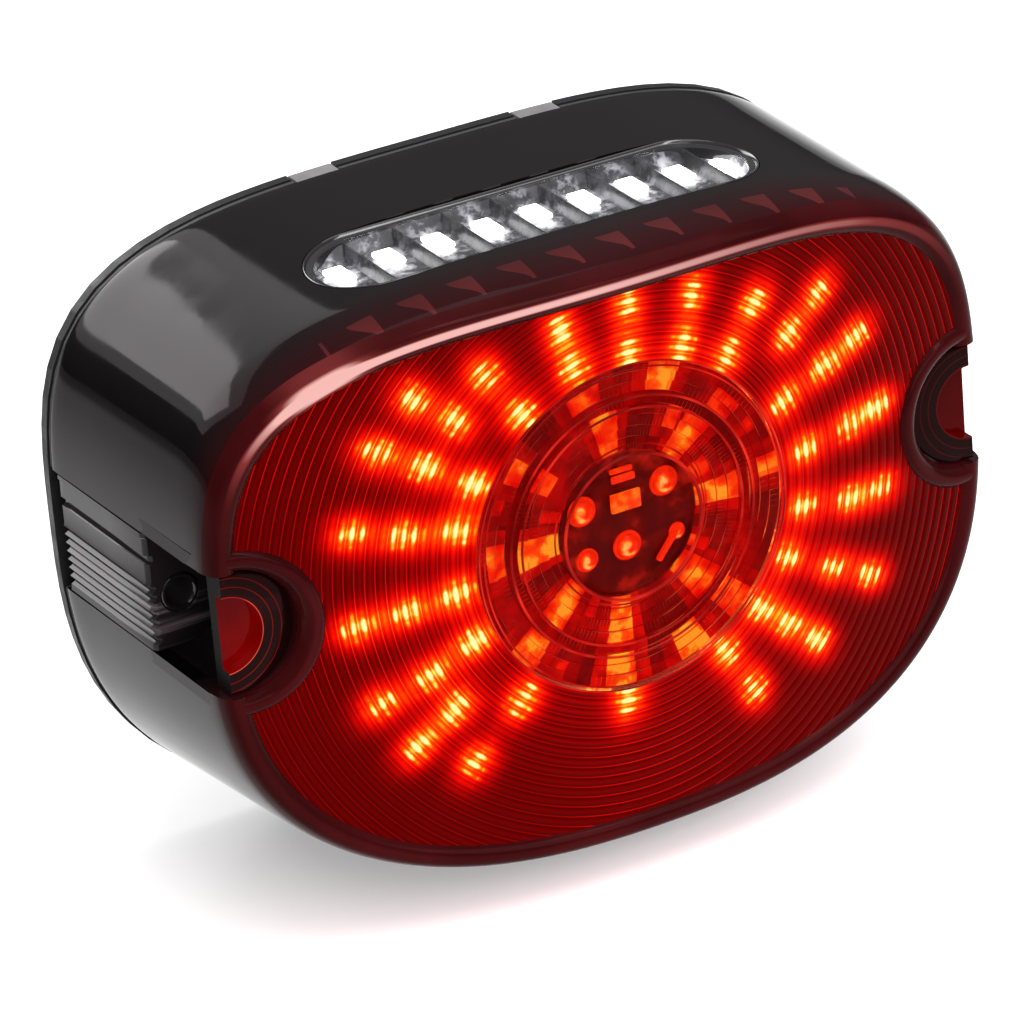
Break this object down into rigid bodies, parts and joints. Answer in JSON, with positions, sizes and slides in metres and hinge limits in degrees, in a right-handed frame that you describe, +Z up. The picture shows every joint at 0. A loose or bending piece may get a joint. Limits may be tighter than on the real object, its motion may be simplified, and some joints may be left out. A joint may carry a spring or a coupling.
{
  "type": "led tail light",
  "caption": "Motorcycle LED tail light with a smoked lens body, ridged red face, round centre lens, number-plate window on top and a screw pocket in each side.",
  "frame": {"origin": "centre of the flat mounting face at the back, level with the middle of the round centre lens", "axes": "+Z up; X is the width; the lens face looks along -Y and the mounting face looks along +Y"},
  "size_m": [0.1344, 0.0592, 0.1008],
  "materials": {
    "smoked_lens": "polished smoke-tinted polycarbonate, red in depth where the lamp is lit",
    "red_lens": "smoke-tinted lens moulded with fine concentric ridges, lit red from behind",
    "clear_lens": "polished clear polycarbonate",
    "black_plastic": "satin moulded black plastic",
    "black_rubber": "moulded rubber",
    "circuit_board": "white solder mask",
    "red_led": "lit red LED package",
    "white_led": "lit white LED package",
    "chrome": "vacuum-metallised reflector",
    "steel": "zinc plated",
    "gold_contact": "gold-flashed contact",
    "component": "moulded epoxy"
  },
  "bodies": {
    "root": {"board_screw_1": "steel", "board_screw_2": "steel", "board_screw_3": "steel", "board_screw_4": "steel", "centre_disc_lens": "red_lens", "centre_inner_ring": "red_lens", "centre_led_cluster": "red_led", "centre_outer_ring": "red_lens", "connector_socket": "black_plastic", "contact_pin_1": "gold_contact", "contact_pin_2": "gold_contact", "contact_pin_3": "gold_contact", "contact_pin_4": "gold_contact", "driver_capacitor_1": "steel", "driver_capacitor_2": "steel", "driver_chip": "component", "driver_inductor": "component", "housing_gasket": "black_rubber", "led_row_01": "red_led", "led_row_02": "red_led", "led_row_03": "red_led", "led_row_04": "red_led", "led_row_05": "red_led", "led_row_06": "red_led", "led_row_07": "red_led", "led_row_08": "red_led", "led_row_09": "red_led", "led_row_10": "red_led", "led_row_11": "red_led", "led_row_12": "red_led", "led_row_13": "red_led", "led_row_14": "red_led", "led_row_15": "red_led", "led_row_16": "red_led", "led_row_17": "red_led", "led_row_18": "red_led", "led_row_19": "red_led", "led_row_20": "red_led", "lens_body": "smoked_lens", "lens_face": "red_lens", "main_board": "circuit_board", "plate_cell_frame": "chrome", "plate_led_strip": "white_led", "plate_window": "clear_lens", "pocket_shelf_left": "black_plastic", "pocket_shelf_right": "black_plastic", "rear_housing": "black_plastic", "reflector_ring": "chrome", "ribbon_cable": "component", "side_block_left": "clear_lens", "side_block_right": "clear_lens", "snap_tab_left": "clear_lens", "snap_tab_right": "clear_lens", "threaded_sleeve_left": "steel", "threaded_sleeve_right": "steel", "vent_plug": "black_rubber", "window_gasket": "black_rubber"}
  },
  "joints": []
}
